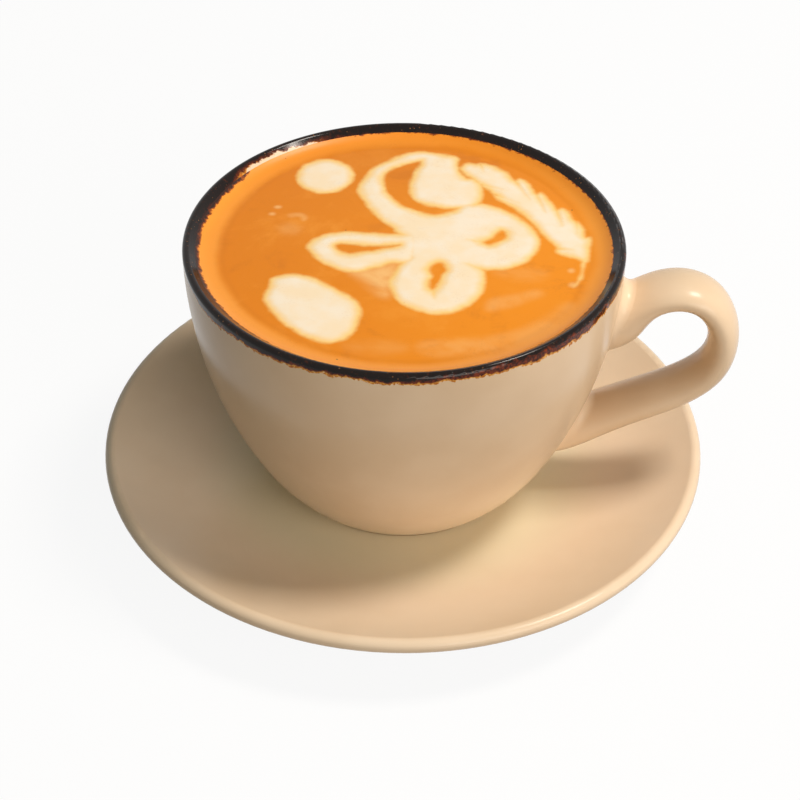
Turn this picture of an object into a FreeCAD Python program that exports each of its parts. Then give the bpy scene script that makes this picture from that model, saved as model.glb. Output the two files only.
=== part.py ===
import FreeCAD, Part
import math
import os
import Sketcher

# A cup of cappuccino on its saucer, in millimetres.
#
# Three pieces: a stoneware saucer, a stoneware cup with an ear handle, and the drink that
# fills the cup to just under its lip. The origin is on the table, on the axis that cup and
# saucer share. +Z is up and the handle points along +X.

SIZES = {
    # saucer
    "saucer_radius": 75.0,          # outer edge
    "saucer_wall": 3.6,             # thickness of the rising part and of its rounded edge
    "saucer_rise": 10.5,            # top of the edge above the flat middle
    "saucer_flat": 4.5,             # width of the flat band between the seat and the rise
    "saucer_floor": 3.8,            # thickness under the seat
    "saucer_foot_radius": 42.0,     # middle of the foot ring
    "saucer_foot_width": 4.0,       # foot ring where it stands
    "saucer_foot_flare": 1.0,       # how far each side of the ring spreads on its way up
    "saucer_foot_height": 2.6,
    "seat_depth": 0.6,              # shallow seat that keeps the cup in the middle
    "seat_clearance": 0.6,          # gap between the cup's foot and the side of the seat
    # cup
    "rim_radius": 52.0,             # outside of the lip
    "cup_height": 70.0,
    "cup_wall": 3.8,
    "lip_edge": 1.0,                # radius of the lip's rounding, at its outer edge
    "lip_tilt": 40.0,               # degrees that the lip's inner slope falls towards the drink
    "cup_floor": 5.0,
    "wall_curve": 117.0,            # radius of the tall curve below the lip
    "bowl_curve": 55.4,             # radius of the tighter curve below that
    "bowl_end": 29.0,               # outside of the cup where the bowl meets its foot ring
    "foot_radius": 26.6,            # outside of the foot ring where it stands
    "foot_width": 3.4,
    "foot_height": 1.8,
    "foot_hollow": 1.2,             # depth of the hollow inside the foot ring
    # handle, along its middle line
    "crown_out": 14.0,              # rim to the crown
    "crown_drop": 10.3,             # lip to the crown
    "reach": 24.7,                  # rim to the widest place
    "reach_drop": 23.5,             # lip to the widest place
    "upper_root_drop": 19.0,        # lip to the middle of the upper root
    "lower_root_height": 15.8,      # cup's foot to the middle of the lower root
    "strap_thickness": 7.4,
    "strap_width": 14.4,
    "upper_root_thickness": 14.5,
    "lower_root_thickness": 10.0,
    "root_width": 15.4,
    "root_fillet": 2.2,
    # drink
    "foam_gap": 0.2,                # middle of the lip's rounding down to the foam's edge
    "foam_climb": 1.8,              # how far the foam climbs towards the lip
    "foam_ring": 5.2,               # width of the climbing foam
}

# Proportions of the handle's curves.
QUARTER_ELLIPSE = 0.5523    # puts a cubic curve's inner corners on a quarter of an ellipse
GRIP_DOWN = 0.47            # of its drop: how far the grip heads straight down
ROOT_OUT = 0.64             # of its way in and of its drop: how far the grip heads straight
ROOT_UP = 0.46              # for the lower root, seen from that root

doc = FreeCAD.newDocument("cappuccino")
sheet = doc.addObject("Spreadsheet::Sheet", "sizes")
for row, (name, size) in enumerate(SIZES.items(), start=1):
    sheet.set(f"A{row}", name)
    sheet.set(f"B{row}", str(size))
    sheet.setAlias(f"B{row}", name)
doc.recompute()

derived = doc.addObject("App::VarSet", "derived")


def derive(name, expression, kind="App::PropertyFloat"):
    """Add a value that follows from the sheet and from the values before it."""
    derived.addProperty(kind, name, "Derived")
    derived.setExpression(name, expression)


def worked_out(expression):
    """The present value of an expression as a plain number."""
    value = sheet.evalExpression(expression)
    return float(getattr(value, "Value", value))


# Heights above the table.
derive("seat", "sizes.saucer_foot_height + sizes.saucer_floor")
derive("saucer_top", "derived.seat + sizes.seat_depth")
derive("foot_top", "derived.seat + sizes.foot_height")
derive("lip_top", "derived.seat + sizes.cup_height")
derive("lip_middle", "derived.lip_top - sizes.lip_edge")
derive("floor_top", "derived.seat + sizes.cup_floor")

# The wall is upright at the lip. The bowl's curve continues the wall's curve without a
# break and ends where the foot ring begins: the angle at which one takes over from the
# other follows from the triangle of the two centres and that end.
derive("wall_centre", "sizes.rim_radius - sizes.wall_curve")
derive("centre_step", "sizes.wall_curve - sizes.bowl_curve")
derive("span_out", "sizes.bowl_end - derived.wall_centre")
derive("span_down", "derived.lip_middle - derived.foot_top")
derive("span", "sqrt(derived.span_out ^ 2 + derived.span_down ^ 2)")
derive("turn",
       "atan2(derived.span_down; derived.span_out) - acos((derived.span ^ 2 + derived.centre_step ^ 2"
       " - sizes.bowl_curve ^ 2) / (2 * derived.span * derived.centre_step))",
       "App::PropertyAngle")
derive("bowl_centre", "derived.wall_centre + derived.centre_step * cos(derived.turn)")
derive("bowl_centre_height", "derived.lip_middle - derived.centre_step * sin(derived.turn)")
derive("turn_height", "derived.lip_middle - sizes.wall_curve * sin(derived.turn)")

# The lip is rounded at its outer edge. From there a straight slope falls inwards to the
# inside of the wall.
derive("lip_centre", "sizes.rim_radius - sizes.lip_edge")
derive("slope_top", "derived.lip_middle + sizes.lip_edge * cos(sizes.lip_tilt)")
derive("slope_top_out", "derived.lip_centre - sizes.lip_edge * sin(sizes.lip_tilt)")
derive("slope_run", "derived.slope_top_out - (sizes.rim_radius - sizes.cup_wall)")
derive("slope_foot", "derived.slope_top - derived.slope_run * tan(sizes.lip_tilt)")

# The saucer's rise is an arc that leaves the flat band level. Its underside is parallel
# to it, and a half-round edge joins the two.
derive("foot_slope", "(sizes.bowl_end - sizes.foot_radius) / sizes.foot_height")
derive("seat_radius", "sizes.foot_radius + max(0; derived.foot_slope) * sizes.seat_depth"
                      " + sizes.seat_clearance")
derive("rise_start", "derived.seat_radius + sizes.saucer_flat")
derive("edge_round", "sizes.saucer_wall / 2")
derive("edge_middle", "sizes.saucer_radius - derived.edge_round")
derive("edge_height", "derived.saucer_top + sizes.saucer_rise - derived.edge_round")
derive("edge_run", "derived.edge_middle - derived.rise_start")
derive("edge_lift", "derived.edge_height - derived.saucer_top + derived.edge_round")
derive("rise_middle", "(derived.edge_run ^ 2 + derived.edge_lift ^ 2) / (2 * derived.edge_lift)")
derive("rise_curve", "derived.rise_middle - derived.edge_round")
derive("under_curve", "derived.rise_middle + derived.edge_round")
derive("rise_centre", "derived.saucer_top + derived.rise_curve")
derive("edge_tilt", "asin(derived.edge_run / derived.rise_middle)", "App::PropertyAngle")
derive("ring_out", "sizes.saucer_foot_radius + sizes.saucer_foot_width / 2")
derive("ring_in", "sizes.saucer_foot_radius - sizes.saucer_foot_width / 2")
derive("ring_flare_out", "derived.ring_out + sizes.saucer_foot_flare")
derive("ring_flare_in", "derived.ring_in - sizes.saucer_foot_flare")

# The drink: its level, and where its foam meets the wall.
derive("foam_edge", "derived.lip_middle - sizes.foam_gap")
derive("drink_level", "derived.foam_edge - sizes.foam_climb")
doc.recompute()


def on_circle(centre, height, radius, angle):
    """A corner on a circle: its distance from the axis and its height, as expressions."""
    return f"{centre} + ({radius}) * cos({angle})", f"{height} + ({radius}) * sin({angle})"


def at_height(centre, centre_height, radius, height):
    """The distance from the axis at which a circle's outer side passes a height."""
    return f"{centre} + sqrt(({radius}) ^ 2 - ({height} - {centre_height}) ^ 2)"


def arc_between(start, end, radius, side):
    """The shorter arc between two points, with its centre on the left (1) or right (-1)."""
    chord = end - start
    half = chord.Length / 2
    across = FreeCAD.Vector(-chord.y, chord.x, 0).normalize()
    centre = (start + end) / 2 + across * side * math.sqrt(radius ** 2 - half ** 2)
    first, last = (start, end) if side > 0 else (end, start)
    angles = [math.atan2(point.y - centre.y, point.x - centre.x) for point in (first, last)]
    return Part.ArcOfCircle(Part.Circle(centre, FreeCAD.Vector(0, 0, 1), radius), *angles)


def outline(body, name, steps):
    """A closed sketch in the XZ plane. Each step is the way to the next corner: the
    corner's distance from the axis and height, then for an arc its radius and the side
    that its centre is on. Every corner and radius is bound to its expression."""
    sketch = body.newObject("Sketcher::SketchObject", name)
    planes = {plane.Role: plane for plane in body.Origin.OriginFeatures}
    sketch.AttachmentSupport = [(planes["XZ_Plane"], "")]
    sketch.MapMode = "FlatFace"
    corners = [FreeCAD.Vector(worked_out(step[0]), worked_out(step[1]), 0) for step in steps]
    pieces = []
    for index, (start, step) in enumerate(zip(corners[-1:] + corners[:-1], steps)):
        end = corners[index]
        if len(step) == 2:
            piece = sketch.addGeometry(Part.LineSegment(start, end))
            pieces.append((piece, 1, 2))
            continue
        radius, side = step[2:]
        piece = sketch.addGeometry(arc_between(start, end, worked_out(radius), side))
        pieces.append((piece, 1, 2) if side > 0 else (piece, 2, 1))
        constraint = sketch.addConstraint(Sketcher.Constraint("Radius", piece, worked_out(radius)))
        sketch.setExpression(f"Constraints[{constraint}]", radius)
    for index, step in enumerate(steps):
        piece, _, last = pieces[index]
        following, first, _ = pieces[(index + 1) % len(pieces)]
        sketch.addConstraint(Sketcher.Constraint("Coincident", piece, last, following, first))
        for way, expression in zip(("DistanceX", "DistanceY"), step[:2]):
            value = worked_out(expression)
            constraint = sketch.addConstraint(Sketcher.Constraint(way, -1, 1, piece, last, value))
            sketch.setExpression(f"Constraints[{constraint}]", expression)
    return sketch


def turned(label, steps):
    """A body turned round the Z axis from its outline."""
    body = doc.addObject("PartDesign::Body", label)
    sketch = outline(body, label + "_outline", steps)
    doc.recompute()
    turning = body.newObject("PartDesign::Revolution", label + "_turned")
    turning.Profile = sketch
    turning.ReferenceAxis = (sketch, ["V_Axis"])
    turning.Angle = 360
    body.Tip = turning
    return body


def make_saucer():
    """The saucer: seat, flat band, rise, half-round edge, underside and foot ring."""
    edge = "derived.edge_tilt - 90 deg"
    top_end = on_circle("derived.rise_start", "derived.rise_centre", "derived.rise_curve", edge)
    under_end = on_circle("derived.rise_start", "derived.rise_centre", "derived.under_curve", edge)
    tip = on_circle("derived.edge_middle", "derived.edge_height", "derived.edge_round", "derived.edge_tilt")
    ring_meets = ("derived.rise_centre - sqrt(derived.under_curve ^ 2"
                  " - (derived.ring_flare_out - derived.rise_start) ^ 2)")
    return turned("saucer", [
        ("0", "sizes.saucer_foot_height"),
        ("derived.ring_flare_in", "sizes.saucer_foot_height"),
        ("derived.ring_in", "0"),
        ("derived.ring_out", "0"),
        ("derived.ring_flare_out", ring_meets),
        (*under_end, "derived.under_curve", 1),
        (*tip, "derived.edge_round", 1),
        (*top_end, "derived.edge_round", 1),
        ("derived.rise_start", "derived.saucer_top", "derived.rise_curve", -1),
        ("derived.seat_radius", "derived.saucer_top"),
        ("derived.seat_radius", "derived.seat"),
        ("0", "derived.seat"),
    ])


def wall_steps(thickness, end_height):
    """From the bottom of the bowl's curve up the wall to a height. A thickness of 0 is the
    cup's outside. More is a surface that far inside it."""
    bowl = f"sizes.bowl_curve - {thickness}"
    wall = f"sizes.wall_curve - {thickness}"
    change = on_circle("derived.wall_centre", "derived.lip_middle", wall, "-derived.turn")
    end = at_height("derived.wall_centre", "derived.lip_middle", wall, end_height)
    return [(*change, bowl, 1), (end, end_height, wall, 1)]


def inside_steps(end_height):
    """The cup's inside from the axis over the floor and up to a height."""
    corner = at_height("derived.bowl_centre", "derived.bowl_centre_height",
                       "sizes.bowl_curve - sizes.cup_wall", "derived.floor_top")
    return [
        ("0", "derived.floor_top"),
        (corner, "derived.floor_top"),
        *wall_steps("sizes.cup_wall", end_height),
    ]


def make_cup_block():
    """The cup's outside as one filled block."""
    return turned("cup_block", [
        ("0", "derived.seat + sizes.foot_hollow"),
        ("sizes.foot_radius - sizes.foot_width", "derived.seat + sizes.foot_hollow"),
        ("sizes.foot_radius - sizes.foot_width", "derived.seat"),
        ("sizes.foot_radius", "derived.seat"),
        ("sizes.bowl_end", "derived.foot_top"),
        *wall_steps("0", "derived.lip_middle"),
        ("derived.lip_centre", "derived.lip_top", "sizes.lip_edge", 1),
        ("0", "derived.lip_top"),
    ])


def make_hollow():
    """What is cut out of the block: the space inside, with the inner side of the lip."""
    return turned("cup_hollow", [
        *inside_steps("derived.slope_foot"),
        ("derived.slope_top_out", "derived.slope_top"),
        ("derived.lip_centre", "derived.lip_top", "sizes.lip_edge", -1),
        ("derived.lip_centre", "derived.lip_top + sizes.cup_wall"),
        ("0", "derived.lip_top + sizes.cup_wall"),
    ])


def bezier(corners, along):
    """Place and direction on a cubic curve through the first and last of four corners."""
    rest = 1 - along
    weights = (rest ** 3, 3 * rest ** 2 * along, 3 * rest * along ** 2, along ** 3)
    rates = (-rest ** 2, rest ** 2 - 2 * rest * along, 2 * rest * along - along ** 2, along ** 2)
    place = [" + ".join(f"{weight:.5f} * ({corner[axis]})" for weight, corner in zip(weights, corners))
             for axis in (0, 1)]
    rate = [" + ".join(f"{rate:.5f} * ({corner[axis]})" for rate, corner in zip(rates, corners))
            for axis in (0, 1)]
    return place, rate


def section(name, place, tilt, thickness, width):
    """An oval across the handle, turned about Y by a tilt from level. It is never thicker
    than it is wide."""
    out, height = place
    oval = doc.addObject("Part::Ellipse", name)
    oval.setExpression("MajorRadius", f"max({width}; {thickness}) / 2")
    oval.setExpression("MinorRadius", f"({thickness}) / 2")
    oval.setExpression("Placement", f"placement(vector({out}; 0; {height}); rotation(90; 0; {tilt}))")
    return oval


def make_handle():
    """The ear handle, lofted through ovals along three curves that meet smoothly: from the
    thick upper root up to the crown, round to the widest place, and down to the lower root."""
    derive("crown", "sizes.rim_radius + sizes.crown_out")
    derive("crown_height", "derived.lip_top - sizes.crown_drop")
    derive("widest", "sizes.rim_radius + sizes.reach")
    derive("widest_height", "derived.lip_top - sizes.reach_drop")
    derive("upper_root_height", "derived.lip_top - sizes.upper_root_drop")
    derive("lower_root_height", "derived.seat + sizes.lower_root_height")
    derive("inset", "2 * sizes.cup_wall")
    for root in ("upper_root", "lower_root"):
        height = f"derived.{root}_height"
        on_wall = at_height("derived.wall_centre", "derived.lip_middle", "sizes.wall_curve", height)
        on_bowl = at_height("derived.bowl_centre", "derived.bowl_centre_height",
                            "sizes.bowl_curve", height)
        derive(root, f"{height} > derived.turn_height ? {on_wall} : {on_bowl}")
    derive("climb", "derived.crown_height - derived.upper_root_height")
    derive("way_out", "derived.crown - derived.upper_root")
    derive("grip_out", f"{QUARTER_ELLIPSE} * (derived.widest - derived.crown)")
    derive("grip_up", f"{QUARTER_ELLIPSE} * (derived.crown_height - derived.widest_height)")
    derive("way_in", "derived.widest - derived.lower_root")
    derive("drop", "derived.widest_height - derived.lower_root_height")
    up = [
        ("derived.upper_root", "derived.upper_root_height"),
        ("derived.upper_root + derived.way_out / 3", "derived.upper_root_height + derived.climb / 3"),
        ("derived.crown - derived.way_out / 2", "derived.crown_height"),
        ("derived.crown", "derived.crown_height"),
    ]
    over = [
        ("derived.crown", "derived.crown_height"),
        ("derived.crown + derived.grip_out", "derived.crown_height"),
        ("derived.widest", "derived.widest_height + derived.grip_up"),
        ("derived.widest", "derived.widest_height"),
    ]
    down = [
        ("derived.widest", "derived.widest_height"),
        ("derived.widest", f"derived.widest_height - {GRIP_DOWN} * derived.drop"),
        (f"derived.lower_root + {ROOT_OUT} * derived.way_in",
         f"derived.lower_root_height + {ROOT_UP} * derived.drop"),
        ("derived.lower_root", "derived.lower_root_height"),
    ]
    strap = ("sizes.strap_thickness", "sizes.strap_width")
    upper = ("sizes.upper_root_thickness", "sizes.root_width")
    lower = ("sizes.lower_root_thickness", "sizes.root_width")
    stations = [(up, along, upper, (1 - along) ** 2) for along in (0, 0.35, 0.7)]
    stations += [(over, along, strap, 0) for along in (0, 0.33, 0.67)]
    stations += [(down, along, lower, along ** 4) for along in (0, 0.2, 0.4, 0.6, 0.8, 1)]
    doc.recompute()
    start = ("derived.upper_root - derived.inset", "derived.upper_root_height")
    ovals = [section("handle_start", start, "90", *upper)]
    for number, (curve, along, root, share) in enumerate(stations):
        place, (out_rate, height_rate) = bezier(curve, along)
        thickness, width = (f"{usual} + ({wide} - {usual}) * {share:.4f}"
                            for usual, wide in zip(strap, root))
        tilt = f"atan2({out_rate}; {height_rate})"
        ovals.append(section(f"handle_section_{number}", place, tilt, thickness, width))
    end = ("derived.lower_root - derived.inset", "derived.lower_root_height")
    ovals.append(section("handle_end", end, "-90", *lower))
    loft = doc.addObject("Part::Loft", "handle")
    loft.Sections = ovals
    loft.Solid = True
    return loft


def join(kind, name, **links):
    """A boolean of two objects."""
    result = doc.addObject(kind, name)
    for link, target in links.items():
        setattr(result, link, target)
    doc.recompute()
    return result


def root_edges(shape):
    """The numbers of the edges along which the lofted handle leaves the turned wall."""
    found = []
    for number, edge in enumerate(shape.Edges, start=1):
        faces = shape.ancestorsOfType(edge, Part.Face)
        kinds = {type(face.Surface) for face in faces}
        if Part.BSplineSurface in kinds and len(kinds) > 1:
            found.append(number)
    return found


def make_cup():
    """Block and handle joined, softened where they meet, then hollowed: one solid."""
    block = make_cup_block()
    handle = make_handle()
    doc.recompute()
    joined = join("Part::Fuse", "block_and_handle", Base=block, Tool=handle)
    softened = doc.addObject("Part::Fillet", "softened_roots")
    softened.Base = joined
    fillet = worked_out("sizes.root_fillet")
    softened.Edges = [(number, fillet, fillet) for number in root_edges(joined.Shape)]
    doc.recompute()
    return join("Part::Cut", "cup", Base=softened, Tool=make_hollow())


def make_drink():
    """The drink: it fills the cup, lies flat, and in a ring of foam climbs the lip's slope."""
    foot = at_height("derived.wall_centre", "derived.lip_middle",
                     "sizes.wall_curve - sizes.cup_wall", "derived.slope_foot")
    share = "(derived.foam_edge - derived.slope_foot) / (derived.slope_top - derived.slope_foot)"
    edge = f"{foot} + (derived.slope_top_out - ({foot})) * {share}"
    climb = "(sizes.foam_ring ^ 2 + sizes.foam_climb ^ 2) / (2 * sizes.foam_climb)"
    return turned("cappuccino", [
        *inside_steps("derived.slope_foot"),
        (edge, "derived.foam_edge"),
        (f"{edge} - sizes.foam_ring", "derived.drink_level", climb, -1),
        ("0", "derived.drink_level"),
    ])


pieces = [make_saucer(), make_cup(), make_drink()]
doc.recompute()

for item in doc.Objects:
    troubles = {"Invalid", "Error"} & set(item.State)
    if troubles:
        raise RuntimeError(f"{item.Label} didn't build: {item.State}")

os.makedirs("parts", exist_ok=True)
for piece in pieces:
    shape = piece.Shape
    if shape.isNull() or not shape.isValid() or len(shape.Solids) != 1:
        raise RuntimeError(f"{piece.Label} isn't one valid solid")
    shape.exportStep(f"parts/{piece.Label}.step")
    print(piece.Label, "volume", round(shape.Volume), "box", shape.BoundBox)
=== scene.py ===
import bpy
import bmesh
import math
import numpy as np
from mathutils import Euler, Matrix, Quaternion, Vector


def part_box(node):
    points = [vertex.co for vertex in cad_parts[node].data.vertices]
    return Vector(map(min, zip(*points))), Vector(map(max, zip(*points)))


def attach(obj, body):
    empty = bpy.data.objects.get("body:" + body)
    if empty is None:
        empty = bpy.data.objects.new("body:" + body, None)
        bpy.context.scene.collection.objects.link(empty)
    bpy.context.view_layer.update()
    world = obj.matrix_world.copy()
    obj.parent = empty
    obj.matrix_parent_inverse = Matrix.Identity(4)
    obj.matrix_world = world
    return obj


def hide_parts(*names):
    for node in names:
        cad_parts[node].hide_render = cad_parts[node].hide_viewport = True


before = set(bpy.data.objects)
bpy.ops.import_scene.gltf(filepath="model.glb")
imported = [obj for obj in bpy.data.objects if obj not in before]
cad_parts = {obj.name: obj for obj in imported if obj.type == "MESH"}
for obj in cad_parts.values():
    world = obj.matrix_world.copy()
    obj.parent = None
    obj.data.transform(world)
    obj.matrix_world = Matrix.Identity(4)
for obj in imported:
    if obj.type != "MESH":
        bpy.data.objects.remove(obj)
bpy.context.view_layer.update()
MM = 0.001

# Measures shared by the pieces and their finishes, in metres.
cup_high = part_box("cup")[1]
drink_low, drink_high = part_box("cappuccino")
LIP_RADIUS = cup_high.y
CUP_WALL = 3.8 * MM
INSIDE_RADIUS = LIP_RADIUS - CUP_WALL
LIP_EDGE = 1.0 * MM                     # radius of the lip's rounding
LIP_MIDDLE = cup_high.z - LIP_EDGE      # height of the rounding's centre
LIP_CENTRE = LIP_RADIUS - LIP_EDGE      # distance of that centre from the cup's axis
DRINK_RADIUS = drink_high.y
FOAM_CLIMB = 1.8 * MM
FOAM_RING = 5.2 * MM
DRINK_LEVEL = drink_high.z - FOAM_CLIMB


def tone(red, green, blue):
    """A colour given on the 0 to 255 screen scale, as a shader takes it."""
    def part(v):
        v = v / 255
        return v / 12.92 if v <= 0.04045 else ((v + 0.055) / 1.055) ** 2.4
    return (part(red), part(green), part(blue), 1.0)


# ---------------------------------------------------------------- finishes

class Nodes:
    """A node tree, with short calls to add and join its nodes."""

    def __init__(self, tree):
        self.nodes, self.links = tree.nodes, tree.links
        self.nodes.clear()

    def put(self, socket, value):
        if isinstance(value, bpy.types.NodeSocket):
            self.links.new(value, socket)
        else:
            socket.default_value = value

    def add(self, kind, inputs, **settings):
        node = self.nodes.new(kind)
        for name, value in settings.items():
            setattr(node, name, value)
        for name, value in inputs.items():
            self.put(node.inputs[name], value)
        return node

    def calc(self, operation, a, b, c=0.0):
        return self.add("ShaderNodeMath", {0: a, 1: b, 2: c}, operation=operation).outputs[0]

    def noise(self, where, size, detail, roughness=0.5):
        """Soft noise from 0 to 1 whose patches are about size metres."""
        return self.add("ShaderNodeTexNoise", {"Vector": where, "Scale": 1 / size, "Detail": detail,
                                               "Roughness": roughness}).outputs["Fac"]

    def spots(self, where, size):
        """0 at the middle of each of many spots strewn about size metres apart, rising between them."""
        return self.add("ShaderNodeTexVoronoi", {"Vector": where, "Scale": 1 / size}).outputs["Distance"]

    def step(self, value, low, high):
        """0 below low, 1 above high, smooth between."""
        return self.add("ShaderNodeMapRange", {"Value": value, "From Min": low, "From Max": high},
                        interpolation_type="SMOOTHSTEP").outputs["Result"]

    def blend(self, share, first, second):
        node = self.add("ShaderNodeMix", {}, data_type="RGBA")
        for index, value in ((0, share), (6, first), (7, second)):
            self.put(node.inputs[index], value)
        return node.outputs[2]

    def tint(self, share, strength, colour, other):
        """The colour, with the other one laid over it by a share and a strength."""
        return self.blend(self.calc("MULTIPLY", share, strength), colour, other)

    def rays(self, *kinds):
        """1 for the named kinds of ray, else 0."""
        path = self.nodes.new("ShaderNodeLightPath")
        share = path.outputs[kinds[0]]
        for kind in kinds[1:]:
            share = self.calc("MAXIMUM", share, path.outputs[kind])
        return share


class Finish(Nodes):
    """One material round a Principled shader."""

    def __init__(self, name):
        self.material = bpy.data.materials.new(name)
        self.material.use_nodes = True
        super().__init__(self.material.node_tree)
        self.shader = self.nodes.new("ShaderNodeBsdfPrincipled")
        self.end = self.add("ShaderNodeOutputMaterial", {"Surface": self.shader.outputs["BSDF"]})

    def place(self):
        """The point on the piece, its x, y and z, and its distance from the cup's axis."""
        point = self.add("ShaderNodeTexCoord", {}).outputs["Object"]
        parts = self.add("ShaderNodeSeparateXYZ", {"Vector": point}).outputs
        across = self.calc("MULTIPLY", parts[0], parts[0])
        out = self.calc("POWER", self.calc("MULTIPLY_ADD", parts[1], parts[1], across), 0.5)
        return point, parts, out

    def bump(self, height, distance, strength, under=None):
        node = self.add("ShaderNodeBump", {"Height": height, "Distance": distance, "Strength": strength})
        if under is not None:
            self.put(node.inputs["Normal"], under)
        return node.outputs["Normal"]

    def set(self, **values):
        for name, value in values.items():
            self.put(self.shader.inputs[name.replace("_", " ")], value)


GLAZE_IOR = 1.28
CREAM = tone(236, 210, 179)
CREAM_THIN = tone(230, 202, 169)
# Greyer, greener cream towards the well: partly the glaze's own tone, partly painted shade.
CREAM_WELL_GREY_AND_SHADE = tone(214, 212, 178)
CREAM_PALE = tone(238, 224, 204)
WELL_EDGE = 56 * MM         # where the greyer glaze and the painted shade of the well start on the way in
WELL_MIDDLE = 34 * MM       # and where they are full


def glaze_body(finish, point):
    """Cream stoneware glaze: a faint cloudiness, and an almost flat, softly wavy surface."""
    cloud = finish.noise(point, 22 * MM, 3.0)
    colour = finish.blend(finish.step(cloud, 0.3, 0.7), CREAM_THIN, CREAM)
    wave = finish.noise(point, 9 * MM, 1.0)
    fine = finish.noise(point, 0.9 * MM, 2.0)
    low = finish.bump(wave, 0.10 * MM, 0.25)
    normal = finish.bump(fine, 0.01 * MM, 0.25, low)
    return colour, normal


def saucer_glaze():
    finish = Finish("saucer_cream_glaze")
    point, _, out = finish.place()
    colour, normal = glaze_body(finish, point)
    # The saucer is a little paler than the cup, and greyer and greener towards the well round the cup's
    # foot: partly the glaze's own tone there, partly painted shade of the well.
    colour = finish.blend(0.20, colour, CREAM_PALE)
    well_grey_and_shade = finish.step(out, WELL_EDGE, WELL_MIDDLE)
    colour = finish.tint(well_grey_and_shade, 0.55, colour, CREAM_WELL_GREY_AND_SHADE)
    rough = finish.step(finish.noise(point, 14 * MM, 2.0), 0.0, 1.0)
    finish.set(Base_Color=colour, Normal=normal, IOR=GLAZE_IOR,
               Roughness=finish.calc("MULTIPLY_ADD", rough, 0.08, 0.19))
    return finish.material


# The brushed band. How far below the middle of the lip it ends, inside the cup and outside
# it, and how much higher it ends on the bare patch, a pale gap that is partly painted sheen, and on the
# left of the outside.
INNER_DROP = 1.3 * MM
OUTER_DROP = 1.75 * MM
BARE_AND_SHEEN_RISE = 1.35 * MM
LEFT_RISE = 0.9 * MM
# How far its edge strays in slow waves, in ragged tongues and in spikes, and the share of
# that inside the cup.
SLOW_STRAY = 3.0 * MM
RAGGED_STRAY = 2.8 * MM
SPIKY_STRAY = 1.1 * MM
INSIDE_SHARE = 0.55
OVER_LIP = 0.4 * MM         # half the width of the change from inside to outside
MOTTLE = 2.2 * MM           # how unevenly amber, rust and brown follow each other
RIGHT_RUST = 1.1 * MM       # how much further the rust reaches on the right of the outside
# Where the bare patch lies, on the far left of the inside where the inner lip's sheen falls: a pale gap
# that is partly painted sheen.
BARE_AND_SHEEN_TOWARDS = (-0.66, 0.75)
# Each pair is blended by a fine noise.
AMBER = tone(186, 106, 22), tone(244, 180, 80)
RUST = tone(54, 17, 2), tone(128, 50, 8)
BROWN = tone(20, 7, 1), tone(66, 28, 8)
GRIT = tone(138, 96, 56)


def bare_patch_and_sheen(finish, parts):
    """1 on the far left of the inside, where the band ends higher and shows cream: a gap in the band that
    is partly painted sheen of the inner lip. 0 elsewhere.
    """
    along = finish.calc("MULTIPLY", parts[1], BARE_AND_SHEEN_TOWARDS[1] / LIP_CENTRE)
    left_far = finish.calc("MULTIPLY_ADD", parts[0], BARE_AND_SHEEN_TOWARDS[0] / LIP_CENTRE, along)
    return finish.step(left_far, 0.88, 0.97)


def above_band_edge(finish, point, parts, outside, bare_and_sheen):
    """How far a point lies above the ragged lower edge of the band, in metres."""
    ragged = finish.calc("SUBTRACT", finish.noise(point, 2.4 * MM, 4.0, 0.6), 0.5)
    spiky = finish.calc("SUBTRACT", finish.noise(point, 0.7 * MM, 3.0, 0.6), 0.5)
    slow = finish.calc("SUBTRACT", finish.noise(point, 19 * MM, 2.0), 0.5)
    waver = finish.calc("MULTIPLY_ADD", ragged, RAGGED_STRAY, finish.calc("MULTIPLY", slow, SLOW_STRAY))
    waver = finish.calc("MULTIPLY_ADD", spiky, SPIKY_STRAY, waver)
    share = finish.calc("MULTIPLY_ADD", outside, 1.0 - INSIDE_SHARE, INSIDE_SHARE)
    waver = finish.calc("MULTIPLY", waver, share)
    # The brush stopped higher on the left of the outside, and the band ends higher on the far left of the
    # inside, a gap that is partly painted sheen.
    edge = finish.calc("MULTIPLY_ADD", outside, INNER_DROP - OUTER_DROP, LIP_MIDDLE - INNER_DROP)
    edge = finish.calc("ADD", edge, bare_and_sheen)
    left = finish.calc("MULTIPLY", finish.step(parts[0], -43 * MM, -50 * MM), outside)
    edge = finish.calc("MULTIPLY_ADD", left, LEFT_RISE, edge)
    return finish.calc("SUBTRACT", parts[2], finish.calc("ADD", edge, waver))


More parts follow.
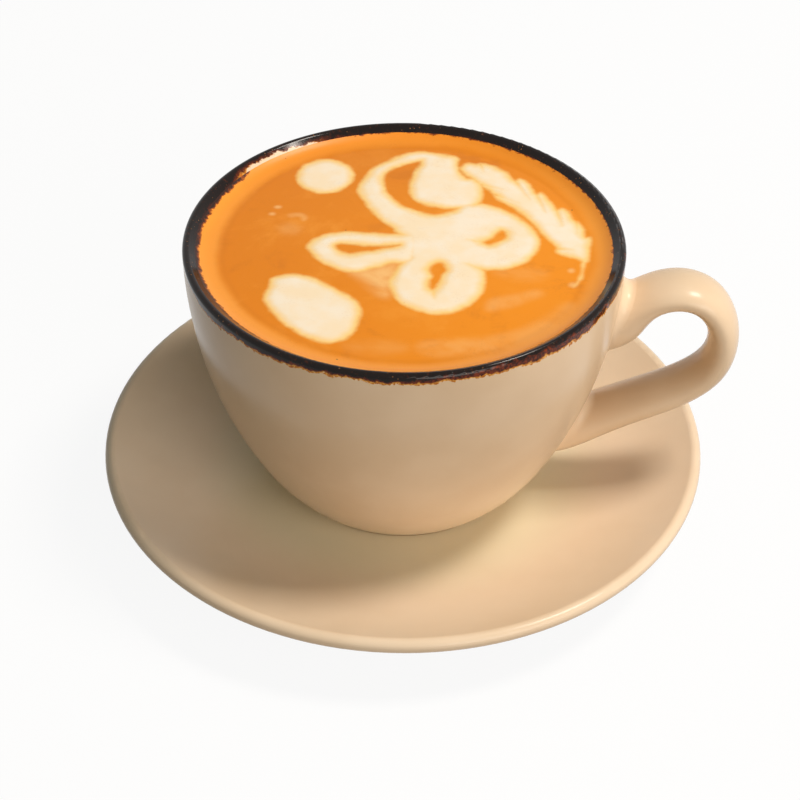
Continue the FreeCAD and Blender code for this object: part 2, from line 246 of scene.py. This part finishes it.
def cup_glaze():
    """The same cream glaze, with the brushed dark brown band round the lip."""
    finish = Finish("cup_cream_glaze_brown_lip")
    point, parts, out = finish.place()
    colour, normal = glaze_body(finish, point)
    outside = finish.step(out, LIP_CENTRE - OVER_LIP, LIP_CENTRE + OVER_LIP)
    inside = finish.calc("SUBTRACT", 1.0, outside)
    bare_and_sheen = finish.calc("MULTIPLY", finish.calc("MULTIPLY", bare_patch_and_sheen(finish, parts), inside), BARE_AND_SHEEN_RISE)
    above = above_band_edge(finish, point, parts, outside, bare_and_sheen)

    # An amber fringe, thin along the bare patch with its painted sheen, then mottled rust, then nearly
    # black brown.
    body = finish.step(above, -0.10 * MM, 0.10 * MM)
    speck = finish.noise(point, 0.7 * MM, 3.0, 0.7)
    mottle = finish.calc("MULTIPLY_ADD", finish.calc("SUBTRACT", speck, 0.5), MOTTLE, above)
    mottle = finish.calc("MULTIPLY_ADD", bare_and_sheen, 0.4, mottle)
    rusty = finish.step(mottle, 0.30 * MM, 0.60 * MM)
    right = finish.calc("MULTIPLY", finish.step(parts[0], 0.0, 30 * MM), outside)
    dark = finish.step(finish.calc("MULTIPLY_ADD", right, -RIGHT_RUST, mottle), 0.55 * MM, 1.15 * MM)
    amber = finish.blend(finish.step(speck, 0.40, 0.60), *AMBER)
    rust = finish.blend(finish.step(speck, 0.40, 0.62), *RUST)
    brown = finish.blend(finish.step(finish.noise(point, 1.3 * MM, 4.0, 0.7), 0.56, 0.72), *BROWN)
    # Tan grit lies in patches on the brown.
    grit = finish.step(finish.spots(point, 1.1 * MM), 0.20, 0.08)
    gritty = finish.step(finish.noise(point, 5 * MM, 3.0), 0.42, 0.64)
    brown = finish.tint(grit, gritty, brown, GRIT)
    band = finish.blend(dark, finish.blend(rusty, amber, rust), brown)
    finish.set(Base_Color=finish.blend(body, colour, band), Normal=normal, IOR=GLAZE_IOR,
               Roughness=finish.calc("MULTIPLY_ADD", body, -0.14, 0.24))
    return finish.material


# ---------------------------------------------------------------- the poured figure

FAR_OUT = -20.0     # the depth of what lies far outside an outline, in millimetres
NEARBY = 4.0        # how far round an outline depths are worked out


def smooth_loop(points, steps=10):
    """A closed smooth line through the points, as rows of x and y."""
    p = np.array(points, float)
    before, after, far = np.roll(p, 1, 0), np.roll(p, -1, 0), np.roll(p, -2, 0)
    rows = []
    for t in np.arange(steps) / steps:
        rows.append(0.5 * (2 * p + (after - before) * t
                           + (2 * before - 5 * p + 4 * after - far) * t ** 2
                           + (3 * p - before - 3 * after + far) * t ** 3))
    return np.stack(rows, 1).reshape(-1, 2)


def depth_in(loop, where):
    """Distance from each point to the loop, positive inside it."""
    a, b = loop, np.roll(loop, -1, 0)
    result = np.full(len(where), FAR_OUT)
    close = np.all((where > loop.min(0) - NEARBY) & (where < loop.max(0) + NEARBY), axis=1)
    x, y = where[close, 0], where[close, 1]
    near = np.full(len(x), 1e9)
    inside = np.zeros(len(x), bool)
    for (ax, ay), (bx, by) in zip(a, b):
        dx, dy = bx - ax, by - ay
        t = np.clip(((x - ax) * dx + (y - ay) * dy) / (dx * dx + dy * dy + 1e-12), 0, 1)
        near = np.minimum(near, np.hypot(x - ax - t * dx, y - ay - t * dy))
        if ay != by:
            inside ^= ((ay > y) != (by > y)) & (x < dx * (y - ay) / dy + ax)
    result[close] = np.where(inside, near, -near)
    return result


def ellipse(cx, cy, rx, ry):
    return [(cx + rx * math.cos(a), cy + ry * math.sin(a)) for a in np.arange(12) * math.tau / 12]


# Outlines of the poured milk in millimetres: x towards the handle, y away from the drinker.
SMALL_DROP = ellipse(-22.3, 29, 7.0, 7.5)
LARGE_DROP = [(-29, -15), (-25, -13), (-20, -14), (-14, -18), (-9, -22), (-7.5, -26), (-8, -32),
              (-10, -36), (-14, -38), (-19, -36), (-24, -32), (-28, -27), (-30, -22.5), (-29.5, -18)]
HOOK = [(-2, 42), (-8, 37), (-11, 33), (-13.5, 25), (-12, 20), (-8, 13), (-3, 8), (2, 5), (10, 8),
        (16, 14), (12, 18), (10, 16.5), (5, 14.5), (-3, 18.5), (-7, 25), (-7.5, 32), (-3, 36.5),
        (1, 38.3), (4, 38.5), (4, 42)]
HEART = [(0.8, 42), (0.6, 37), (-0.8, 30), (-1, 26), (0.5, 21), (4, 18.5), (9, 18), (14, 18.5),
         (16.5, 21), (17, 25), (16.4, 28.6), (14.6, 31.2), (12.2, 31.4), (10.6, 34), (9.8, 37.5),
         (9.4, 40.8), (5, 42)]
RIGHT_LOOP = [(12, 19.4), (16, 20.4), (20, 19.6), (24, 17.2), (28, 13.4), (30.8, 9), (31.6, 4.5),
              (30.3, 0), (28, -3.6), (24.5, -5.8), (20, -6.6), (15, -6), (10, 0), (8, 8)]
NEAR_LOOP = [(0, -6), (-2, -14), (0, -20), (4, -23.5), (9, -25), (14, -23.5), (18, -19), (19.7, -13),
             (19, -7.5), (16, -4), (9, 0), (3, -1)]
LEFT_LOOP = [(3, 6), (-3, 5.4), (-10, 5.5), (-16, 5), (-20, 3), (-22.5, -0.5), (-21.5, -4), (-18, -8),
             (-13, -10.5), (-9, -10), (-3, -6.5), (3, -5)]
MIDDLE = [(-3, 8), (0, 4), (1, -4), (6, -6), (16, -6), (18, 0), (17, 12), (10, 15), (2, 13)]
RIGHT_EYE = [(18, 4.4), (19.4, 3.3), (21.4, 4), (23.2, 6), (23.9, 8), (22.6, 9.9), (21.4, 8.4),
             (20, 6.2)]
NEAR_EYE = [(7.5, -5.5), (9.5, -5), (10.6, -7.5), (9.6, -10.5), (9.4, -13), (8.4, -16), (7, -15.5),
            (6.9, -12.5), (7.4, -10.5), (6.4, -8)]
LEFT_EYE = [(-16.3, -0.3), (-14, 0.6), (-9, 0.2), (-3, 0.9), (-1, 1.2), (-4.5, -0.8), (-10, -2.8),
            (-13, -3.6), (-15.5, -2.2)]
LEAF = [(10.8, 36.2), (12, 38.2), (14.5, 38.2), (16, 38.8), (18, 38), (20.5, 36.4), (22.5, 34.6),
        (24.4, 31.6), (25.8, 32.6), (27.6, 31), (29, 28.4), (30, 25.9), (31.2, 26.9), (32.8, 24.6),
        (34.2, 22), (35.2, 19.6), (36.6, 20.6), (38, 19), (39.4, 15.8), (40.8, 14.6), (41.8, 11.5),
        (42.3, 8.6), (43.4, 8.5), (43.5, 4), (42.9, -1.2), (41.4, -0.8), (38.5, 0.4), (35.9, 1.9),
        (36, 3.6), (34.6, 5.4), (32.8, 8), (31, 11.4), (29.5, 14.2), (27.4, 17), (24.6, 19.8),
        (21.4, 22.6), (19.8, 24.6), (18.2, 26.8), (16.6, 28.4), (15.2, 30), (13.2, 32.6), (11.4, 34.4)]
# The lines between the leaf's barbs: where each one starts at the edge, and where it fades out.
LEAF_LINES = [((24.2, 32.2), (28.6, 23.4)), ((29.8, 26.6), (32.6, 18)), ((35, 20.2), (36.8, 12.6)),
              ((40.2, 15.2), (40.6, 8.5)), ((16.4, 29), (21.5, 27.4)), ((20, 24.8), (26, 21.6)),
              ((36.2, 3.4), (39.5, 3.2)), ((15.4, 39), (16.6, 35))]
LEAF_TAIL = [(42.9, 1), (42.7, -4), (42.3, -7.5), (41, -10.8), (40, -11.8), (40.6, -9.5), (41.4, -6),
             (41.6, -2)]

TAIL_THINNING = 0.4
# The lines where two streams of milk meet in a loop.
LOOP_LINES = [((19, 3.9), (14.5, 5)), ((8.2, -16), (8.6, -19.5))]
LINE_SHARPNESS, LINE_WIDTH, LINE_FADE = 1.1, 0.2, 1.7


def split(depth, where, start, end):
    """Draws a soft line across the milk, open at its start and fading towards its end."""
    (ax, ay), (bx, by) = start, end
    dx, dy = bx - ax, by - ay
    t = np.clip(((where[:, 0] - ax) * dx + (where[:, 1] - ay) * dy) / (dx * dx + dy * dy), 0, 1)
    away = np.hypot(where[:, 0] - ax - t * dx, where[:, 1] - ay - t * dy)
    return np.minimum(depth, away * LINE_SHARPNESS - LINE_WIDTH + LINE_FADE * t)


def poured_milk(where):
    """Depth in millimetres inside the poured figure, below zero outside it."""
    milk = np.full(len(where), FAR_OUT)
    for outline in (SMALL_DROP, LARGE_DROP, HOOK, HEART, RIGHT_LOOP, NEAR_LOOP, LEFT_LOOP, MIDDLE):
        milk = np.maximum(milk, depth_in(smooth_loop(outline), where))
    for outline in (RIGHT_EYE, NEAR_EYE, LEFT_EYE):
        milk = np.minimum(milk, -depth_in(smooth_loop(outline), where))
    for start, end in LOOP_LINES:
        milk = split(milk, where, start, end)
    leaf = depth_in(smooth_loop(LEAF, 5), where)
    for start, end in LEAF_LINES:
        leaf = split(leaf, where, start, end)
    tail = depth_in(smooth_loop(LEAF_TAIL), where) - TAIL_THINNING
    return np.maximum(milk, np.maximum(leaf, tail))


# Thin foam drawn out over the crema: an outline, how soft its edge is in millimetres, and how
# pale it is.
SMEARS = [
    ([(-2, -5.5), (-6, -8.6), (-11, -10.6), (-9, -13), (-6, -16.5), (-2.4, -19.6), (-1, -14), (-1, -8)],
     2.6, 0.85),
    ([(21, -19), (24, -17), (28, -15.4), (32, -13.6), (33, -15.6), (29, -18.8), (25, -21.4), (21, -22.6)],
     1.5, 0.32),
    ([(7, -36), (14, -34.2), (20, -33), (27, -30), (33, -25), (39, -18), (40, -21), (36, -28), (30, -34),
      (22, -38.5), (12, -40.4), (7, -39)], 2.0, 0.30),
    (ellipse(39.4, -5.2, 0.7, 0.8), 0.6, 0.7),
    (ellipse(39.9, -10.8, 0.9, 0.9), 0.7, 0.7),
    (ellipse(-32.0, 14.3, 0.8, 0.6), 0.6, 0.7),
    (ellipse(-33.0, 11.2, 0.7, 0.6), 0.6, 0.7),
    ([(-29, 11.6), (-26, 12.2), (-24.4, 10.4), (-25.2, 9), (-26.4, 10.6), (-28.6, 10.2)], 0.7, 0.5),
    ([(-31, 6), (-28, 8), (-25, 6), (-26, 3.4), (-29, 3)], 1.6, 0.2),
    ([(-10, -38), (-2, -36), (4, -37), (3, -40), (-6, -41)], 2.0, 0.16),
    ([(22, -6), (30, -5), (34, -7), (31, -10), (23, -9)], 2.0, 0.18),
]


def thin_foam(where):
    foam = np.zeros(len(where))
    for outline, soft, pale in SMEARS:
        edge = np.clip(depth_in(smooth_loop(outline, 5), where) / soft * 0.5 + 0.5, 0, 1)
        foam = np.maximum(foam, pale * edge * edge * (3 - 2 * edge))
    return foam


# ---------------------------------------------------------------- the drink

DRINK_STEPS = 480           # faces round the drink
DRINK_RINGS = 146           # rings from its middle out to the wall
WALL_REACH = 0.45 * MM      # how far its edge reaches into the lip's slope, so that no gap shows
FOAM_LEAN = 0.25            # share of the foam's climb that is straight, the rest steepens
MILK_RELIEF = 0.12 * MM
MILK_SHOULDER = 2.0         # millimetres from the edge of the milk to its full height
# The side that the cup hides, as shares of the cup's inside radius and of the drink's depth.
HIDDEN_SIDE = ((0.98, 0.80), (0.93, 0.60), (0.84, 0.40), (0.70, 0.22), (0.52, 0.10), (0.30, 0.04),
               (0.0, 0.03))


def drink_profile():
    """Radius and height from the middle of the surface out to the wall."""
    rows = []
    for i in range(DRINK_RINGS + 1):
        r = (DRINK_RADIUS + WALL_REACH) * i / DRINK_RINGS
        t = max(0.0, min(1.0, (r - (DRINK_RADIUS - FOAM_RING)) / FOAM_RING))
        rows.append((r, DRINK_LEVEL + FOAM_CLIMB * (FOAM_LEAN * t + (1 - FOAM_LEAN) * t ** 3)))
    return rows


def turn_drink():
    """The profile turned round the cup's axis, closed down the hidden side."""
    mesh = bmesh.new()
    line = [mesh.verts.new((r, 0, z)) for r, z in drink_profile()]
    edges = [mesh.edges.new(pair) for pair in zip(line, line[1:])]
    last = line[-1]
    for r, z in HIDDEN_SIDE:
        lower = mesh.verts.new((INSIDE_RADIUS * r, 0, drink_low.z + (DRINK_LEVEL - drink_low.z) * z))
        edges.append(mesh.edges.new((last, lower)))
        last = lower
    bmesh.ops.spin(mesh, geom=line + edges, cent=(0, 0, 0), axis=(0, 0, 1), angle=math.tau,
                   steps=DRINK_STEPS, use_merge=True)
    bmesh.ops.remove_doubles(mesh, verts=mesh.verts, dist=0.002 * MM)
    bmesh.ops.recalc_face_normals(mesh, faces=mesh.faces)
    data = bpy.data.meshes.new("cappuccino_with_poured_milk")
    mesh.to_mesh(data)
    mesh.free()
    return data


def make_drink():
    """The drink, with the milk raised a little and both kinds of foam kept for the finish."""
    data = turn_drink()
    count = len(data.vertices)
    place = np.empty(count * 3)
    data.vertices.foreach_get("co", place)
    place = place.reshape(-1, 3)
    top = place[:, 2] > DRINK_LEVEL - 0.01 * MM
    milk = np.full(count, FAR_OUT)
    milk[top] = poured_milk(place[top, :2] / MM)
    foam = np.zeros(count)
    foam[top] = thin_foam(place[top, :2] / MM)
    place[:, 2] += MILK_RELIEF * np.clip(milk / MILK_SHOULDER, 0, 1)
    data.vertices.foreach_set("co", place.ravel())
    data.attributes.new("milk", "FLOAT", "POINT").data.foreach_set("value", milk)
    data.attributes.new("thin_foam", "FLOAT", "POINT").data.foreach_set("value", foam)
    for face in data.polygons:
        face.use_smooth = True
    piece = bpy.data.objects.new("cappuccino_with_poured_milk", data)
    bpy.context.collection.objects.link(piece)
    return piece


DRINK_IOR = 1.3
CREMA_LEFT = tone(230, 132, 4)
CREMA_RIGHT = tone(246, 148, 16)
CREMA_FAR = tone(216, 120, 4)
SWIRL_PALE = tone(252, 166, 58)
SWIRL_DEEP = tone(205, 112, 8)
GROOVE = tone(214, 118, 10)
RIM_FOAM_NEAR = tone(252, 163, 60)
RIM_FOAM_FAR = tone(240, 148, 46)
STAIN_THIN = tone(150, 70, 14)
STAIN_DEEP = tone(44, 17, 4)
DRAWN_FOAM = tone(255, 203, 132)
HALO = tone(255, 210, 126)
MILK_SHADE = tone(255, 233, 199)
MILK_WHITE = tone(255, 240, 218)
BUBBLES = tone(168, 88, 16)
GROUNDS = tone(120, 58, 12)
TEETH_REACH = 2.6 * MM      # how unevenly the band shows through the foam's edge
LEFT_REACH = 0.75 * MM      # how much further it shows on the left
BARE_AND_SHEEN_REACH = 1.5 * MM       # how much less it shows along the bare patch, which is partly painted sheen


def bent_point(finish, point):
    """The point, pushed about slowly, so that a noise on it is drawn out in swirls."""
    drift = finish.add("ShaderNodeTexNoise", {"Vector": point, "Scale": 1 / (30 * MM), "Detail": 1.0})
    push = finish.add("ShaderNodeVectorMath", {0: drift.outputs["Color"], "Scale": 26 * MM},
                      operation="SCALE")
    return finish.add("ShaderNodeVectorMath", {0: point, 1: push.outputs[0]}, operation="ADD").outputs[0]


def crema_colour(finish, point, parts, out, bent):
    """Warm orange brown, deeper on the left and far away, in slow swirls, paler against the wall."""
    sweep = finish.step(parts[0], -42 * MM, 42 * MM)
    crema = finish.blend(sweep, CREMA_LEFT, CREMA_RIGHT)
    swirl = finish.noise(bent, 15 * MM, 5.0, 0.62)
    crema = finish.tint(finish.step(swirl, 0.50, 0.72), 0.40, crema, SWIRL_PALE)
    crema = finish.tint(finish.step(swirl, 0.46, 0.28), 0.45, crema, SWIRL_DEEP)
    far = finish.step(parts[1], 8 * MM, 44 * MM)
    crema = finish.tint(far, 0.40, crema, CREMA_FAR)

    # The paler foam against the wall, with a thin deeper line inside it.
    wobble = finish.calc("MULTIPLY_ADD", finish.noise(point, 13 * MM, 3.0), 2.6 * MM, out)
    nearer = finish.calc("MULTIPLY_ADD", sweep, -1.2 * MM, wobble)
    nearer = finish.calc("MULTIPLY_ADD", finish.step(parts[1], 5 * MM, 45 * MM), -1.3 * MM, nearer)
    ring = finish.step(nearer, 43.6 * MM, 46.4 * MM)
    groove = finish.calc("SUBTRACT", finish.step(nearer, 42.4 * MM, 43.8 * MM),
                         finish.step(nearer, 43.8 * MM, 45.2 * MM))
    crema = finish.tint(groove, 0.18, crema, GROOVE)
    return finish.tint(ring, 0.80, crema, finish.blend(far, RIM_FOAM_NEAR, RIM_FOAM_FAR))


def band_through_foam(finish, point, parts, out):
    """How much of the brown band shows in ragged teeth at the foam's thin edge, and its colour."""
    teeth = finish.calc("SUBTRACT", finish.noise(point, 1.7 * MM, 4.0, 0.68), 0.5)
    reach = finish.calc("MULTIPLY_ADD", teeth, TEETH_REACH, out)
    reach = finish.calc("MULTIPLY_ADD", finish.step(parts[0], -10 * MM, -46 * MM), LEFT_REACH, reach)
    reach = finish.calc("MULTIPLY_ADD", bare_patch_and_sheen(finish, parts), -BARE_AND_SHEEN_REACH, reach)
    stained = finish.step(reach, DRINK_RADIUS - 0.52 * MM, DRINK_RADIUS - 0.12 * MM)
    soaked = finish.step(reach, DRINK_RADIUS - 0.28 * MM, DRINK_RADIUS + 0.26 * MM)
    return stained, finish.blend(soaked, STAIN_THIN, STAIN_DEEP)


def drink_finish():
    finish = Finish("cappuccino_crema_and_milk")
    point, parts, out = finish.place()
    milk = finish.add("ShaderNodeAttribute", {}, attribute_name="milk").outputs["Fac"]
    thin = finish.add("ShaderNodeAttribute", {}, attribute_name="thin_foam").outputs["Fac"]
    bent = bent_point(finish, point)
    crema = crema_colour(finish, point, parts, out, bent)

    # Thin foam drawn across the crema, broken up by the same swirls.
    tear = finish.step(finish.noise(bent, 6 * MM, 3.0, 0.55), 0.25, 0.65)
    torn = finish.calc("MULTIPLY", thin, finish.calc("MULTIPLY_ADD", tear, 0.55, 0.45))
    crema = finish.blend(torn, crema, DRAWN_FOAM)

    # The poured milk: a soft uneven edge, a yellow halo, then white foam.
    fray = finish.calc("SUBTRACT", finish.noise(point, 3.5 * MM, 3.0), 0.5)
    depth = finish.calc("MULTIPLY_ADD", fray, 1.5, milk)
    halo = finish.step(depth, -0.9, 0.5)
    white = finish.step(depth, -0.2, 2.5)
    cloud = finish.step(finish.noise(point, 7 * MM, 3.0), 0.35, 0.7)
    colour = finish.blend(halo, crema, HALO)
    colour = finish.blend(white, colour, finish.blend(cloud, MILK_SHADE, MILK_WHITE))

    # Fine bubbles, and a few dark grounds that floated up.
    bubble = finish.step(finish.spots(point, 0.5 * MM), 0.42, 0.06)
    patchy = finish.step(finish.noise(point, 5 * MM, 2.0), 0.45, 0.7)
    colour = finish.tint(finish.calc("MULTIPLY", bubble, patchy), 0.16, colour, BUBBLES)
    ground = finish.step(finish.spots(point, 6.5 * MM), 0.05, 0.025)
    on_crema = finish.step(milk, 0.0, -1.0)
    colour = finish.tint(finish.calc("MULTIPLY", ground, on_crema), 0.6, colour, GROUNDS)
    stained, stain = band_through_foam(finish, point, parts, out)
    colour = finish.blend(stained, colour, stain)

    grain = finish.noise(point, 0.35 * MM, 2.0)
    low = finish.bump(finish.noise(point, 5 * MM, 2.0), 0.10 * MM, 0.3)
    normal = finish.bump(finish.calc("MULTIPLY_ADD", bubble, -0.6, grain), 0.03 * MM, 0.35, low)
    finish.set(Base_Color=colour, Normal=normal, IOR=DRINK_IOR,
               Roughness=finish.calc("MULTIPLY_ADD", white, 0.12, 0.34))
    return finish.material


drink = make_drink()
drink.data.materials.append(drink_finish())
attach(drink, "root")
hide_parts("cappuccino")


def dress(node, material):
    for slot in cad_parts[node].material_slots:
        slot.material = material


dress("cup", cup_glaze())
dress("saucer", saucer_glaze())


# ---------------------------------------------------------------- floor, light and camera

WHITE = (1, 1, 1, 1)
SKY = (0.90, 1.0, 0.90, 1)
SKY_LEVEL = 0.15
FLOOR_HALF = 3.0
FLOOR_DROP = 0.05 * MM      # keeps the floor just clear of the saucer's foot ring
FLOOR_WHITE = 0.91
SEEN = ("Is Camera Ray", "Is Glossy Ray", "Is Transmission Ray")


def floor_finish():
    """White where it is seen or mirrored, and a warm grey to the light that it throws back."""
    finish = Finish("studio_floor")
    pale = finish.blend(finish.rays("Is Camera Ray"), tone(150, 138, 124), tone(245, 244, 242))
    finish.set(Base_Color=pale, Roughness=0.9, Specular_IOR_Level=0.0)
    white = finish.add("ShaderNodeEmission", {"Color": WHITE, "Strength": 1.0})
    share = finish.calc("MULTIPLY", finish.rays(*SEEN), FLOOR_WHITE)
    mixed = finish.add("ShaderNodeMixShader", {0: share, 1: finish.shader.outputs["BSDF"],
                                               2: white.outputs["Emission"]})
    finish.put(finish.end.inputs["Surface"], mixed.outputs["Shader"])
    return finish.material


def make_floor():
    mesh = bmesh.new()
    bmesh.ops.create_grid(mesh, x_segments=1, y_segments=1, size=FLOOR_HALF)
    data = bpy.data.meshes.new("floor")
    mesh.to_mesh(data)
    mesh.free()
    floor = bpy.data.objects.new("floor", data)
    floor.location.z = -FLOOR_DROP
    bpy.context.collection.objects.link(floor)
    data.materials.append(floor_finish())


def make_world():
    """White where it is seen or mirrored, and a dim, faintly green sky to everything else."""
    world = bpy.data.worlds.new("studio")
    bpy.context.scene.world = world
    world.use_nodes = True
    sky = Nodes(world.node_tree)
    seen = sky.rays(*SEEN)
    strength = sky.add("ShaderNodeMapRange", {"Value": seen, "To Min": SKY_LEVEL, "To Max": 1.0})
    back = sky.add("ShaderNodeBackground", {"Color": sky.blend(seen, SKY, WHITE),
                                            "Strength": strength.outputs["Result"]})
    sky.add("ShaderNodeOutputWorld", {"Surface": back.outputs["Background"]})


def soft_lamp(name, place, width, height, power, colour):
    """A rectangular lamp that shines on the cup."""
    lamp = bpy.data.lights.new(name, "AREA")
    lamp.shape = "RECTANGLE"
    lamp.size, lamp.size_y = width, height
    lamp.energy = power
    lamp.color = colour
    holder = bpy.data.objects.new(name, lamp)
    holder.location = place
    holder.rotation_euler = (Vector((0, 0, 0.05)) - Vector(place)).to_track_quat("-Z", "Y").to_euler()
    bpy.context.collection.objects.link(holder)


make_floor()
make_world()
soft_lamp("overhead", (0.59, 0.10, 1.18), 0.30, 0.30, 11.8, (1.0, 0.93, 0.85))
soft_lamp("side", (1.05, -1.25, 0.75), 1.3, 0.9, 17.5, (1.0, 0.94, 0.88))

LENS = 90
SENSOR = 36
PITCH_DOWN = math.radians(39.241)
HEADING = math.radians(5.12)
ROLL = math.radians(0.314)
CAMERA_RIGHT = 0.03376
CAMERA_BACK = 0.38583
CAMERA_ABOVE_LIP = 0.2682
camera_data = bpy.data.cameras.new("camera")
camera_data.lens = LENS
camera_data.sensor_width = SENSOR
camera_data.clip_start = 0.01
camera = bpy.data.objects.new("camera", camera_data)
camera.location = (CAMERA_RIGHT, -CAMERA_BACK, LIP_MIDDLE + CAMERA_ABOVE_LIP)
turn = Euler((math.pi / 2 - PITCH_DOWN, 0, HEADING)).to_quaternion() @ Quaternion((0, 0, 1), ROLL)
camera.rotation_euler = turn.to_euler()
bpy.context.collection.objects.link(camera)
bpy.context.scene.camera = camera

bpy.context.scene.view_settings.view_transform = "Standard"
